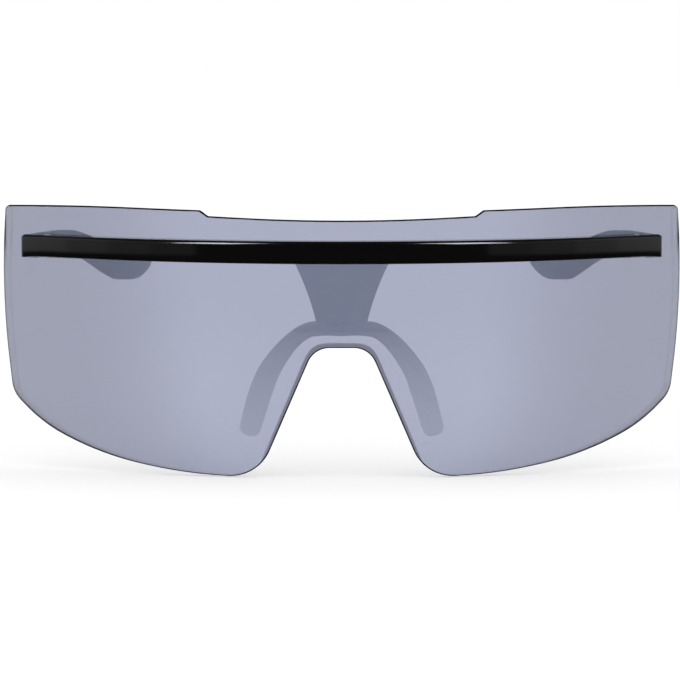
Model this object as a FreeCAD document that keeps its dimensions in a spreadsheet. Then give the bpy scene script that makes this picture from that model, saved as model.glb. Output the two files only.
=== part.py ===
"""Shield sunglasses: one wrapped lens carried between a brow bar in front and a rail frame behind,
with a soft nose saddle and two folding temples.

The origin is under the nose saddle. +Z is up, the temples run back along +Y, +X is the wearer's left.
"""
import FreeCAD, Part
import math
import os
import re
import Sketcher

SIZES = (
    # Lens: a strip of a cylinder, trimmed to its front outline
    ("lens_radius", "100"),
    ("lens_thickness", "2"),
    ("lens_width", "144"),
    ("lens_forward", "7"),
    ("middle_dip_rise", "23.75"),
    ("middle_dip_round", "470"),
    ("step_foot_lift", "1.2"),
    ("step_foot_half", "27.65"),
    ("step_height", "1.2"),
    ("step_run", "1.7"),
    ("step_round", "0.6"),
    ("wing_crown_lift", "0.58"),
    ("wing_crown_share", "0.665"),
    ("wing_crown_round", "400"),
    ("wing_corner_lift", "0.1"),
    ("wing_corner_inset", "0.5"),
    ("wing_corner_round", "1"),
    ("wing_side_bulge", "0.6"),
    ("wing_side_rise", "7.64"),
    ("wing_side_round", "160"),
    ("wing_low_drop", "13.43"),
    ("wing_low_inset", "2.1"),
    ("wing_low_round", "6"),
    ("sweep_outer_round", "33"),
    ("sweep_middle_round", "70"),
    ("sweep_inner_round", "105"),
    ("nose_tip_drop", "28.97"),
    ("nose_tip_half", "17.3"),
    ("nose_tip_round", "9"),
    ("notch_drop", "2.07"),
    ("notch_half", "5.67"),
    ("notch_round", "4.8"),
    ("lens_edge_round", "0.3"),
    ("blank_share", "1.2"),
    # Brow bar, in front of the lens
    ("bar_low_rise", "15.4"),
    ("bar_height", "4.8"),
    ("bar_depth", "3.2"),
    ("bar_end_inset", "4.6"),
    ("bar_end_round", "1.1"),
    ("bar_edge_round", "0.9"),
    ("seat_gap", "0.05"),
    # Rear frame: rail, bridge stem, tongue and endpieces
    ("rail_low_lift", "0.1"),
    ("rail_height", "3.7"),
    ("rail_depth", "3.4"),
    ("rail_end_inset", "0.8"),
    ("rail_edge_round", "0.6"),
    ("stem_top_half", "9.7"),
    ("stem_waist_half", "7"),
    ("stem_waist_rise", "9.2"),
    ("stem_foot_half", "5.2"),
    ("stem_foot_rise", "3.1"),
    ("tongue_half", "3"),
    ("tongue_length", "2"),
    ("tongue_thickness", "1.5"),
    ("tongue_inset", "0.35"),
    ("endpiece_length", "10"),
    # Nose pad
    ("saddle_thickness", "3"),
    ("saddle_half", "6"),
    ("saddle_round", "3"),
    ("pad_top_half", "8.2"),
    ("pad_top_round", "4"),
    ("pad_shoulder_half", "16.9"),
    ("pad_shoulder_drop", "4.9"),
    ("pad_shoulder_round", "9"),
    ("pad_hip_half", "11.6"),
    ("pad_hip_drop", "6.6"),
    ("pad_hip_round", "12"),
    ("pad_heel_half", "17.4"),
    ("pad_toe_width", "4"),
    ("pad_toe_round", "1.5"),
    ("pad_drop", "20.9"),
    ("pad_clear", "0.7"),
    ("pad_depth", "8.3"),
    ("pad_rake", "6.5"),
    ("pad_edge_round", "0.8"),
    ("tongue_gap", "0.15"),
    # Bar screws and the bushings that hold them clear of the lens
    ("bar_screw_inset", "4.7"),
    ("bar_screw_radius", "0.7"),
    ("bar_screw_head_radius", "1.3"),
    ("bar_screw_head_height", "0.8"),
    ("bar_screw_sink", "0.2"),
    ("bar_screw_bite", "2.2"),
    ("bushing_wall", "0.5"),
    ("fit_gap", "0.03"),
    ("slot_width", "0.35"),
    ("slot_depth", "0.4"),
    # Hinges
    ("joint_gap", "0.2"),
    ("barrel_radius", "1.3"),
    ("barrel_set", "1.6"),
    ("knuckle_height", "1.2"),
    ("knuckle_gap", "0.05"),
    ("knuckle_clear", "1.5"),
    ("leaf_height", "3.9"),
    ("leaf_thickness", "0.8"),
    ("leaf_length", "8"),
    ("pin_radius", "0.6"),
    ("pin_head_radius", "0.95"),
    ("pin_head_height", "0.5"),
    ("pin_slot_depth", "0.25"),
    ("leaf_screw_radius", "0.5"),
    ("leaf_screw_head_radius", "0.8"),
    ("leaf_screw_head_height", "0.4"),
    ("leaf_screw_bite", "2"),
    ("leaf_screw_first", "3.4"),
    ("leaf_screw_pitch", "2.8"),
    # Temples: arm, core strip and tip, cut to one plan and one side outline
    ("arm_inset", "4.5"),
    ("arm_thickness", "3.6"),
    ("arm_top_rise", "19.7"),
    ("arm_height", "4.5"),
    ("arm_reach", "125.5"),
    ("arm_edge_round", "0.4"),
    ("bend_radius", "95"),
    ("tip_sweep", "36.5"),
    ("tip_length", "50.5"),
    ("top_bend_back", "37"),
    ("top_bend_drop", "2.95"),
    ("top_bend_round", "100"),
    ("low_bend_back", "31.3"),
    ("low_bend_drop", "7.67"),
    ("low_bend_round", "80"),
    ("tip_end_drop", "10.94"),
    ("tip_end_round", "1.8"),
    ("toe_back", "7.3"),
    ("toe_drop", "17.74"),
    ("toe_round", "8.9"),
    ("core_lead", "20"),
    ("core_tail", "13.5"),
    ("core_end_drop", "11.7"),
    ("core_thickness", "1"),
    ("core_height", "2"),
    ("core_bend_round", "60"),
    ("core_gap", "0.1"),
    # Overrun of every trimming cut, and the distance within which two points are the same
    ("cut_overrun", "5"),
    ("same_spot", "0.001"),
)
NAMES = {name for name, number in SIZES}
SIDES = {"left": 1, "right": -1}
BAR_SCREW_COUNT = 4
# Turn in radians between two faces that makes the edge between them sharp
SHARP_TURN = math.radians(25)
# Most of an edge's length that the roundings at its two ends may take up together
EDGE_ROOM_SHARE = 0.98
# Corners of the lens's lower sweep: shares of its run outwards and of its climb, and the rounding there
SWEEP_SHARES = (
    (0.272, 0.02, "sweep_inner_round"),
    (0.618, 0.222, "sweep_middle_round"),
    (0.876, 0.606, "sweep_outer_round"),
)

# Places that several pieces share, as formulas of the sizes above
HALF_WIDTH = "lens_width / 2"
STEP_FOOT = "(middle_dip_rise + step_foot_lift)"
STEP_TOP = f"({STEP_FOOT} + step_height)"
CORNER_RISE = f"({STEP_TOP} + wing_corner_lift)"
CROWN_RISE = f"({CORNER_RISE} + wing_crown_lift)"
LENS_REAR = "(lens_radius - lens_thickness)"
BAR_BACK = "(lens_radius + seat_gap)"
BAR_FRONT = "(lens_radius + seat_gap + bar_depth)"
BAR_HALF_SWEEP = f"asin(({HALF_WIDTH} - bar_end_inset) / {BAR_FRONT})"
SCREW_HALF_SWEEP = f"asin(({HALF_WIDTH} - bar_end_inset - bar_screw_inset) / {BAR_FRONT})"
RAIL_FRONT = "(lens_radius - lens_thickness - seat_gap)"
RAIL_BACK = "(lens_radius - lens_thickness - seat_gap - rail_depth)"
RAIL_MIDDLE = "(lens_radius - lens_thickness - seat_gap - rail_depth / 2)"
RAIL_LOW = "(bar_low_rise + rail_low_lift)"
RAIL_TOP = f"({RAIL_LOW} + rail_height)"
SCREW_RISE = f"({RAIL_LOW} + rail_height / 2)"
LENS_AXIS = "(lens_radius - lens_forward)"
ARM_OUT = "(lens_width / 2 - arm_inset)"
ARM_IN = "(lens_width / 2 - arm_inset - arm_thickness)"
RAIL_END = "(lens_width / 2 - arm_inset - rail_end_inset)"
ARM_LOW = "(arm_top_rise - arm_height)"
TIP_SPLIT = "(arm_reach - tip_length)"
TOP_BEND = "(arm_reach - top_bend_back)"
LOW_BEND = "(arm_reach - low_bend_back)"
HINGE_FROM_AXIS = f"(endpiece_length - sqrt({LENS_REAR}^2 - {ARM_OUT}^2))"
HINGE_PLANE = f"({LENS_AXIS} + {HINGE_FROM_AXIS})"
HINGE_SIDE = f"({ARM_IN} - barrel_set)"
LEAF_LOW = "(arm_top_rise - arm_height / 2 - leaf_height / 2)"
LEAF_FACE = "(barrel_set - seat_gap - leaf_thickness)"
LEAF_BACK = "(barrel_set - seat_gap)"

doc = FreeCAD.newDocument("shield_sunglasses")
sheet = doc.addObject("Spreadsheet::Sheet", "sizes")
for row, (name, number) in enumerate(SIZES, start=1):
    sheet.set(f"A{row}", number)
    sheet.setAlias(f"A{row}", name)
doc.recompute()


def value(formula):
    """Work out a formula of named sizes."""
    result = sheet.evalExpression(formula)
    return float(getattr(result, "Value", result))


def bind(target, setting, formula):
    """Tie one property of an object to a formula of named sizes."""
    linked = re.sub("[a-z_]+", lambda word: f"sizes.{word[0]}" if word[0] in NAMES else word[0], formula)
    target.setExpression(setting, linked)


def new_body(label, x="0", y="0", z="0", turn=None):
    """Start a sub-part whose own origin lies at the given place."""
    body = doc.addObject("PartDesign::Body", label)
    body.Label = label
    if turn:
        body.Placement = FreeCAD.Placement(FreeCAD.Vector(), turn)
    for axis, formula in zip("xyz", (x, y, z)):
        bind(body, f"Placement.Base.{axis}", formula)
    return body


def origin_feature(body, role):
    """Return the plane or axis of a body's origin that has the given role."""
    return next(item for item in body.Origin.OriginFeatures if item.Role == role)


def new_sketch(body, name, plane, lift="0", turn=0):
    """Start a sketch on an origin plane, lifted along the plane's normal and turned about it in degrees."""
    sketch = body.newObject("Sketcher::SketchObject", name)
    sketch.AttachmentSupport = [(origin_feature(body, plane), "")]
    sketch.MapMode = "FlatFace"
    sketch.AttachmentOffset = FreeCAD.Placement(
        FreeCAD.Vector(), FreeCAD.Rotation(FreeCAD.Vector(0, 0, 1), turn))
    bind(sketch, "AttachmentOffset.Base.z", lift)
    return sketch


def lock(sketch, piece, end, x, y):
    """Hold one point of a sketch at the place that two formulas give."""
    for kind, formula, axis in (("DistanceX", x, -2), ("DistanceY", y, -1)):
        if formula == "0":
            sketch.addConstraint(Sketcher.Constraint("PointOnObject", piece, end, axis))
            continue
        number = sketch.addConstraint(Sketcher.Constraint(kind, -1, 1, piece, end, value(formula)))
        bind(sketch, f"Constraints[{number}]", formula)


def spot(corner):
    """Return the point of a sketch that a corner's two formulas give."""
    return FreeCAD.Vector(value(corner[0]), value(corner[1]), 0)


def add_bow(sketch, start, through, finish):
    """Add an arc that passes through a held point; return it with the names of its two ends."""
    middle = spot(through)
    bow = Part.ArcOfCircle(start, middle, finish)
    anticlockwise = (middle - start).cross(finish - middle).z > 0
    first, last = (start, finish) if anticlockwise else (finish, start)
    angles = [math.atan2(point.y - bow.Center.y, point.x - bow.Center.x) for point in (first, last)]
    whole = Part.Circle(bow.Center, FreeCAD.Vector(0, 0, 1), bow.Radius)
    arc = sketch.addGeometry(Part.ArcOfCircle(whole, *angles), False)
    held = sketch.addGeometry(Part.Point(middle), True)
    lock(sketch, held, 1, *through)
    sketch.addConstraint(Sketcher.Constraint("PointOnObject", held, 1, arc))
    return (arc, 1, 2) if anticlockwise else (arc, 2, 1)


def room_shares(corners, spots):
    """Return for each corner the share of its rounding that the edges beside it have room for."""
    reaches = []
    for number, corner in enumerate(corners):
        arriving = spots[number] - spots[number - 1]
        leaving = spots[(number + 1) % len(spots)] - spots[number]
        radius = value(corner[2]) if len(corner) == 3 else 0
        reaches.append(radius * math.tan(arriving.getAngle(leaving) / 2))
    shares = []
    for number, reach in enumerate(reaches):
        length = spots[number].distanceToPoint(spots[number - 1])
        needed = reach + reaches[number - 1]
        shares.append(min(1, EDGE_ROOM_SHARE * length / needed) if needed else 1)
    return [min(share, after) for share, after in zip(shares, shares[1:] + shares[:1])]


def outline(sketch, corners, bows=None):
    """Draw a closed loop through corners (x, y) or (x, y, rounding).

    The edge after a corner is straight, unless bows gives the point that its arc passes through.
    A rounding is limited by the edges beside it.
    """
    bows = bows or {}
    spots = [spot(corner) for corner in corners]
    shares = room_shares(corners, spots)
    edges = []
    for number, start in enumerate(spots):
        finish = spots[(number + 1) % len(spots)]
        if number in bows:
            edges.append(add_bow(sketch, start, bows[number], finish))
        else:
            edges.append((sketch.addGeometry(Part.LineSegment(start, finish), False), 1, 2))
    for number, corner in enumerate(corners):
        before, after = edges[number - 1], edges[number]
        sketch.addConstraint(Sketcher.Constraint("Coincident", before[0], before[2], after[0], after[1]))
        lock(sketch, after[0], after[1], corner[0], corner[1])
    for number, corner in enumerate(corners):
        if len(corner) == 3:
            arc = sketch.GeometryCount
            neighbours = spots[number - 1], spots[(number + 1) % len(spots)]
            rounding = corner[2] if shares[number] == 1 else f"{corner[2]} * {shares[number]}"
            sketch.fillet(edges[number - 1][0], edges[number][0], *neighbours, value(rounding), True, True)
            size = sketch.addConstraint(Sketcher.Constraint("Radius", arc, value(rounding)))
            bind(sketch, f"Constraints[{size}]", rounding)


def rectangle(sketch, x_low, x_high, y_low, y_high):
    """Draw a rectangle between four formulas."""
    outline(sketch, [(x_low, y_low), (x_high, y_low), (x_high, y_high), (x_low, y_high)])


def circle(sketch, x, y, radius):
    """Draw a circle whose centre and radius are formulas."""
    ring = sketch.addGeometry(Part.Circle(spot((x, y)), FreeCAD.Vector(0, 0, 1), value(radius)), False)
    lock(sketch, ring, 3, x, y)
    size = sketch.addConstraint(Sketcher.Constraint("Radius", ring, value(radius)))
    bind(sketch, f"Constraints[{size}]", radius)


def mirrored(corners):
    """Return the corners of a half outline in reverse order on the other side of the middle."""
    return [(f"-({corner[0]})",) + tuple(corner[1:]) for corner in reversed(corners)]


def pad(body, sketch, length, symmetric=False):
    """Raise a sketch into a solid along its normal, or to both sides of its plane."""
    feature = body.newObject("PartDesign::Pad", f"{sketch.Name}_pad")
    feature.Profile = sketch
    feature.SideType = "Symmetric" if symmetric else "One side"
    bind(feature, "Length", length)
    doc.recompute()
    return feature


def cut(body, sketch, length=None, both_sides=True, ahead=False):
    """Cut a sketch out of a body, right through or to a length, and check that it took something off."""
    before = body.Shape.Volume
    feature = body.newObject("PartDesign::Pocket", f"{sketch.Name}_cut")
    feature.Profile = sketch
    feature.SideType = "Symmetric" if both_sides else "One side"
    feature.Reversed = ahead
    if length:
        bind(feature, "Length", length)
    else:
        feature.Type = "ThroughAll"
    doc.recompute()
    if body.Shape.Volume >= before:
        raise RuntimeError(f"{feature.Name} cuts nothing")
    return feature


def turn_solid(body, sketch, angle="360"):
    """Turn a sketch about its upright axis, to both sides of its plane."""
    feature = body.newObject("PartDesign::Revolution", f"{sketch.Name}_turn")
    feature.Profile = sketch
    feature.ReferenceAxis = (sketch, ["V_Axis"])
    feature.Midplane = True
    bind(feature, "Angle", angle)
    doc.recompute()
    return feature


def bore(body, sketch):
    """Turn a sketch about its upright axis and take it out of a body."""
    before = body.Shape.Volume
    feature = body.newObject("PartDesign::Groove", f"{sketch.Name}_bore")
    feature.Profile = sketch
    feature.ReferenceAxis = (sketch, ["V_Axis"])
    feature.Angle = 360
    doc.recompute()
    if body.Shape.Volume >= before:
        raise RuntimeError(f"{feature.Name} cuts nothing")
    return feature


def round_edges(body, name, edges, size):
    """Round the numbered edges of a body's last feature."""
    base = body.Tip
    feature = body.newObject("PartDesign::Fillet", name)
    feature.Base = (base, [f"Edge{number}" for number in edges])
    bind(feature, "Radius", size)
    doc.recompute()
    return feature


def edges_of_faces(body, test):
    """Number the edges of the faces of a body's last feature that pass a test."""
    shape = body.Tip.Shape
    wanted = [edge for face in shape.Faces if test(face) for edge in face.Edges]
    return [number for number, edge in enumerate(shape.Edges, start=1)
            if any(edge.isSame(other) for other in wanted)]


def sharp_edges(body, is_kept):
    """Number the edges where two faces of a body's last feature meet at an angle, but for those to keep."""
    shape = body.Tip.Shape
    numbers = []
    for number, edge in enumerate(shape.Edges, start=1):
        middle = edge.valueAt((edge.FirstParameter + edge.LastParameter) / 2)
        faces = shape.ancestorsOfType(edge, Part.Face)
        normals = [face.normalAt(*face.Surface.parameter(middle)) for face in faces]
        if len(normals) == 2 and normals[0].getAngle(normals[1]) > SHARP_TURN and not is_kept(edge):
            numbers.append(number)
    return numbers


def is_cylinder(face, radius):
    """Tell whether a face lies on a cylinder of the given radius."""
    if not isinstance(face.Surface, Part.Cylinder):
        return False
    return abs(face.Surface.Radius - value(radius)) < value("same_spot")


def bar_screw_sketch(body, name):
    """Start a sketch whose upright axis runs through the first bar screw, towards the lens axis."""
    return new_sketch(body, name, "XY_Plane", SCREW_RISE, -value(SCREW_HALF_SWEEP))


def repeat_bar_screws(body, features):
    """Repeat features at every bar screw, about the lens axis."""
    pattern = body.newObject("PartDesign::PolarPattern", f"{features[0].Name}_row")
    pattern.Originals = features
    pattern.Axis = (origin_feature(body, "Z_Axis"), [""])
    pattern.Occurrences = BAR_SCREW_COUNT
    bind(pattern, "Angle", f"2 * {SCREW_HALF_SWEEP}")
    body.Tip = pattern
    doc.recompute()
    return pattern


def shield_lens():
    """Wrapped lens: a strip of a cylinder cut to the front outline, with holes for the bushings."""
    body = new_body("shield_lens", y=LENS_AXIS)
    strip = new_sketch(body, "lens_strip", "YZ_Plane")
    rectangle(strip, "-lens_radius", f"-{LENS_REAR}", "-nose_tip_drop - cut_overrun",
              f"{CROWN_RISE} + cut_overrun")
    turn_solid(body, strip, f"2 * asin({HALF_WIDTH} / {LENS_REAR}) * blank_share")

    step_top_half = "(step_foot_half + step_run)"
    corner_half = f"({HALF_WIDTH} - wing_corner_inset)"
    low_half = f"({HALF_WIDTH} - wing_low_inset)"
    crown_half = f"{step_top_half} + ({corner_half} - {step_top_half}) * wing_crown_share"
    sweep = [
        (f"nose_tip_half + ({low_half} - nose_tip_half) * {run_share}",
         f"-nose_tip_drop + (nose_tip_drop - wing_low_drop) * {climb_share}", rounding)
        for run_share, climb_share, rounding in SWEEP_SHARES
    ]
    half = [
        ("notch_half", "-notch_drop", "notch_round"),
        ("nose_tip_half", "-nose_tip_drop", "nose_tip_round"),
        *sweep,
        (low_half, "-wing_low_drop", "wing_low_round"),
        (f"{HALF_WIDTH} + wing_side_bulge", "wing_side_rise", "wing_side_round"),
        (corner_half, CORNER_RISE, "wing_corner_round"),
        (crown_half, CROWN_RISE, "wing_crown_round"),
        (step_top_half, STEP_TOP, "step_round"),
        ("step_foot_half", STEP_FOOT, "step_round"),
    ]
    middle = ("0", "middle_dip_rise", "middle_dip_round")
    trim = new_sketch(body, "lens_outline", "XZ_Plane")
    rectangle(trim, "-lens_radius", "lens_radius", "-nose_tip_drop - 2 * cut_overrun",
              f"{CROWN_RISE} + 2 * cut_overrun")
    outline(trim, half + [middle] + mirrored(half))
    cut(body, trim, both_sides=False, ahead=True)
    front = edges_of_faces(body, lambda face: is_cylinder(face, "lens_radius"))
    round_edges(body, "lens_edge", front, "lens_edge_round")

    hole = bar_screw_sketch(body, "lens_hole")
    rectangle(hole, "0", "bar_screw_radius + bushing_wall + 2 * fit_gap", "-lens_radius - cut_overrun",
              f"-{LENS_REAR} + cut_overrun")
    repeat_bar_screws(body, [bore(body, hole)])
    return body


def brow_bar():
    """Curved bar in front of the lens, with blind holes behind for its screws."""
    body = new_body("brow_bar", y=LENS_AXIS)
    section = new_sketch(body, "bar_section", "YZ_Plane")
    rectangle(section, f"-{BAR_FRONT}", f"-{BAR_BACK}", "bar_low_rise", "bar_low_rise + bar_height")
    turn_solid(body, section, f"2 * {BAR_HALF_SWEEP}")
    near = value("same_spot")
    levels = [value("bar_low_rise"), value("bar_low_rise + bar_height")]

    def is_end_corner(edge):
        rises = [end.Point.z for end in edge.Vertexes]
        level = any(all(abs(rise - height) < near for rise in rises) for height in levels)
        return level and isinstance(edge.Curve, Part.Line)

    ends = [number for number, edge in enumerate(body.Tip.Shape.Edges, start=1) if is_end_corner(edge)]
    round_edges(body, "bar_end_corners", ends, "bar_end_round")
    front = edges_of_faces(body, lambda face: is_cylinder(face, BAR_FRONT))
    round_edges(body, "bar_front_edges", front, "bar_edge_round")
    hole = bar_screw_sketch(body, "bar_hole")
    rectangle(hole, "0", "bar_screw_radius + fit_gap", f"-{BAR_BACK} - bar_screw_bite - fit_gap",
              f"-{BAR_BACK} + cut_overrun")
    repeat_bar_screws(body, [bore(body, hole)])
    return body


def rear_frame():
    """Rail behind the lens with the bridge stem, the tongue for the nose pad and an endpiece at each side."""
    body = new_body("rear_frame", y=LENS_AXIS)
    strip = new_sketch(body, "frame_strip", "YZ_Plane")
    rectangle(strip, f"-{RAIL_FRONT}", f"-{RAIL_BACK}", "stem_foot_rise - cut_overrun",
              f"{RAIL_TOP} + cut_overrun")
    turn_solid(body, strip, f"2 * asin({ARM_OUT} / {RAIL_BACK}) * blank_share")
    half = [("stem_foot_half", "stem_foot_rise"), ("stem_top_half", RAIL_LOW),
            (RAIL_END, RAIL_LOW), (RAIL_END, RAIL_TOP)]
    waist = ("stem_waist_half", "stem_waist_rise")
    trim = new_sketch(body, "frame_outline", "XZ_Plane")
    rectangle(trim, "-lens_radius", "lens_radius", "stem_foot_rise - 2 * cut_overrun",
              f"{RAIL_TOP} + 2 * cut_overrun")
    outline(trim, half + mirrored(half), {0: waist, 6: mirrored([waist])[0]})
    cut(body, trim, both_sides=False, ahead=True)
    behind = edges_of_faces(body, lambda face: is_cylinder(face, RAIL_BACK))
    outer = sharp_edges(body, lambda edge: isinstance(edge.Curve, Part.Line))
    round_edges(body, "rail_edges", [number for number in behind if number in outer], "rail_edge_round")

    tongue = new_sketch(body, "stem_tongue", "XY_Plane", "stem_foot_rise - tongue_length")
    rectangle(tongue, "-tongue_half", "tongue_half", f"-{RAIL_BACK} - tongue_inset - tongue_thickness",
              f"-{RAIL_BACK} - tongue_inset")
    pad(body, tongue, "tongue_length + stem_foot_rise")
    for side, sign in SIDES.items():
        block = new_sketch(body, f"{side}_endpiece", "XY_Plane", ARM_LOW)
        outline(block, [
            (f"{sign} * {ARM_OUT}", f"{HINGE_FROM_AXIS} - joint_gap / 2"),
            (f"{sign} * {ARM_IN}", f"{HINGE_FROM_AXIS} - joint_gap / 2"),
            (f"{sign} * {ARM_IN}", f"-sqrt({RAIL_MIDDLE}^2 - {ARM_IN}^2)"),
            (f"{sign} * {ARM_OUT}", f"-sqrt({RAIL_MIDDLE}^2 - {ARM_OUT}^2)"),
        ])
        pad(body, block, "arm_height")
    pilots = new_sketch(body, "endpiece_pilots", "YZ_Plane")
    leaf_screw_circles(pilots, HINGE_FROM_AXIS, -1, "leaf_screw_radius + fit_gap")
    cut(body, pilots, f"2 * ({ARM_IN} + leaf_screw_bite + fit_gap)")

    hole = bar_screw_sketch(body, "rail_hole")
    seat = f"-{RAIL_BACK} - bar_screw_sink - bar_screw_head_height"
    outline(hole, [
        ("0", f"-{RAIL_FRONT} - cut_overrun"),
        ("bar_screw_radius + fit_gap", f"-{RAIL_FRONT} - cut_overrun"),
        ("bar_screw_radius + fit_gap", seat),
        ("bar_screw_head_radius + fit_gap", seat),
        ("bar_screw_head_radius + fit_gap", f"-{RAIL_BACK} + cut_overrun"),
        ("0", f"-{RAIL_BACK} + cut_overrun"),
    ])
    repeat_bar_screws(body, [bore(body, hole)])
    return body


def nose_pad():
    """Soft saddle with two arms that splay down and back, slotted above for the stem's tongue."""
    body = new_body("nose_pad")
    front = new_sketch(body, "pad_outline", "XZ_Plane")
    half = [
        ("saddle_half", "0", "saddle_round"),
        ("pad_hip_half", "-pad_hip_drop", "pad_hip_round"),
        ("pad_heel_half", "-pad_drop", "pad_toe_round"),
        ("pad_heel_half + pad_toe_width", "-pad_drop", "pad_toe_round"),
        ("pad_shoulder_half", "-pad_shoulder_drop", "pad_shoulder_round"),
        ("pad_top_half", "saddle_thickness", "pad_top_round"),
    ]
    outline(front, half + mirrored(half))
    lead = "(lens_forward - lens_thickness - pad_clear)"
    pad(body, front, f"2 * ({lead} + pad_depth + pad_rake)", symmetric=True)
    side = new_sketch(body, "pad_side", "YZ_Plane")
    rectangle(side, f"-2 * ({lead} + pad_depth + pad_rake)", f"2 * ({lead} + pad_depth + pad_rake)",
              "-pad_drop - 2 * cut_overrun", "saddle_thickness + 2 * cut_overrun")
    outline(side, [
        (f"-{lead}", "saddle_thickness + cut_overrun"),
        (f"-{lead}", "saddle_thickness"),
        (f"pad_rake - {lead}", "-pad_drop"),
        (f"pad_rake - {lead}", "-pad_drop - cut_overrun"),
        (f"pad_rake - {lead} + pad_depth", "-pad_drop - cut_overrun"),
        (f"pad_rake - {lead} + pad_depth", "-pad_drop"),
        (f"pad_depth - {lead}", "saddle_thickness"),
        (f"pad_depth - {lead}", "saddle_thickness + cut_overrun"),
    ])
    cut(body, side)
    round_edges(body, "pad_edges", sharp_edges(body, lambda edge: False), "pad_edge_round")
    slot = new_sketch(body, "tongue_slot", "XY_Plane", "stem_foot_rise - tongue_length - tongue_gap")
    back = f"{LENS_AXIS} - {RAIL_BACK} - tongue_inset"
    rectangle(slot, "-tongue_half - tongue_gap", "tongue_half + tongue_gap",
              f"{back} - tongue_thickness - tongue_gap", f"{back} + tongue_gap")
    cut(body, slot, "tongue_length + cut_overrun", both_sides=False, ahead=True)
    return body


def bar_screws():
    """Slotted screws that clamp the rail and the lens to the brow bar."""
    body = new_body("brow_bar_screws", y=LENS_AXIS)
    profile = bar_screw_sketch(body, "bar_screw")
    seat = f"-{RAIL_BACK} - bar_screw_sink - bar_screw_head_height"
    top = f"-{RAIL_BACK} - bar_screw_sink"
    outline(profile, [
        ("0", f"-{BAR_BACK} - bar_screw_bite"),
        ("bar_screw_radius", f"-{BAR_BACK} - bar_screw_bite"),
        ("bar_screw_radius", seat),
        ("bar_screw_head_radius", seat),
        ("bar_screw_head_radius", top),
        ("0", top),
    ])
    shank = turn_solid(body, profile)
    slot = bar_screw_sketch(body, "bar_screw_slot")
    rectangle(slot, "-slot_width / 2", "slot_width / 2", f"{top} - slot_depth", f"{top} + cut_overrun")
    slot_cut = cut(body, slot)
    repeat_bar_screws(body, [shank, slot_cut])
    return body


def lens_bushings():
    """Sleeves that keep the bar screws off the lens."""
    body = new_body("lens_bushings", y=LENS_AXIS)
    sleeve = bar_screw_sketch(body, "bushing")
    rectangle(sleeve, "bar_screw_radius + fit_gap", "bar_screw_radius + fit_gap + bushing_wall",
              "-lens_radius", f"-{LENS_REAR}")
    repeat_bar_screws(body, [turn_solid(body, sleeve)])
    return body


def leaf_screw_circles(sketch, hinge, way, radius, middle="arm_top_rise - arm_height / 2"):
    """Draw a circle for each screw of a hinge leaf that runs from the hinge along Y, forwards or back."""
    for number in range(2):
        circle(sketch, f"{hinge} + {way} * (leaf_screw_first + {number} * leaf_screw_pitch)", middle, radius)


def hinge_leaf(label, sign, way):
    """Hinge leaf on the inner face: two outer knuckles on the front leaf, one between on the temple's."""
    body = new_body(label, f"{sign} * {HINGE_SIDE}", HINGE_PLANE, LEAF_LOW)
    plate = new_sketch(body, f"{label}_plate", "XY_Plane")
    rectangle(plate, f"{sign} * {LEAF_FACE}", f"{sign} * {LEAF_BACK}", f"{way} * leaf_length",
              f"{way} * knuckle_clear")
    pad(body, plate, "leaf_height")
    barrel = new_sketch(body, f"{label}_barrel", "XY_Plane")
    circle(barrel, "0", "0", "barrel_radius")
    pad(body, barrel, "leaf_height")
    web = new_sketch(body, f"{label}_web", "XY_Plane")
    rectangle(web, f"{sign} * {LEAF_FACE}", f"{sign} * barrel_radius", f"{way} * knuckle_clear", "0")
    pad(body, web, "leaf_height")

    reach = "(barrel_radius + knuckle_clear)"
    if way < 0:
        gap = new_sketch(body, f"{label}_gap", "XY_Plane", "knuckle_height")
        rectangle(gap, f"-{reach}", reach, f"{way} * knuckle_clear", f"-({way}) * {reach}")
        cut(body, gap, "leaf_height - 2 * knuckle_height", both_sides=False, ahead=True)
    else:
        for level in ("0", "leaf_height - knuckle_height - knuckle_gap"):
            gap = new_sketch(body, f"{label}_gap", "XY_Plane", level)
            rectangle(gap, f"-{reach}", reach, f"-({way}) * {reach}", f"{way} * knuckle_clear")
            cut(body, gap, "knuckle_height + knuckle_gap", both_sides=False, ahead=True)
    eye = new_sketch(body, f"{label}_eye", "XY_Plane")
    circle(eye, "0", "0", "pin_radius + fit_gap")
    cut(body, eye)
    if way < 0:
        sink = new_sketch(body, f"{label}_sink", "XY_Plane", "leaf_height - pin_head_height")
        circle(sink, "0", "0", "pin_head_radius + fit_gap")
        cut(body, sink, "leaf_height", both_sides=False, ahead=True)
    holes = new_sketch(body, f"{label}_holes", "YZ_Plane")
    leaf_screw_circles(holes, "0", way, "leaf_screw_radius + fit_gap", "leaf_height / 2")
    cut(body, holes)
    seats = new_sketch(body, f"{label}_seats", "YZ_Plane")
    leaf_screw_circles(seats, "0", way, "leaf_screw_head_radius + fit_gap", "leaf_height / 2")
    cut(body, seats, f"2 * ({LEAF_FACE} + leaf_screw_head_height)")
    return body


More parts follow.
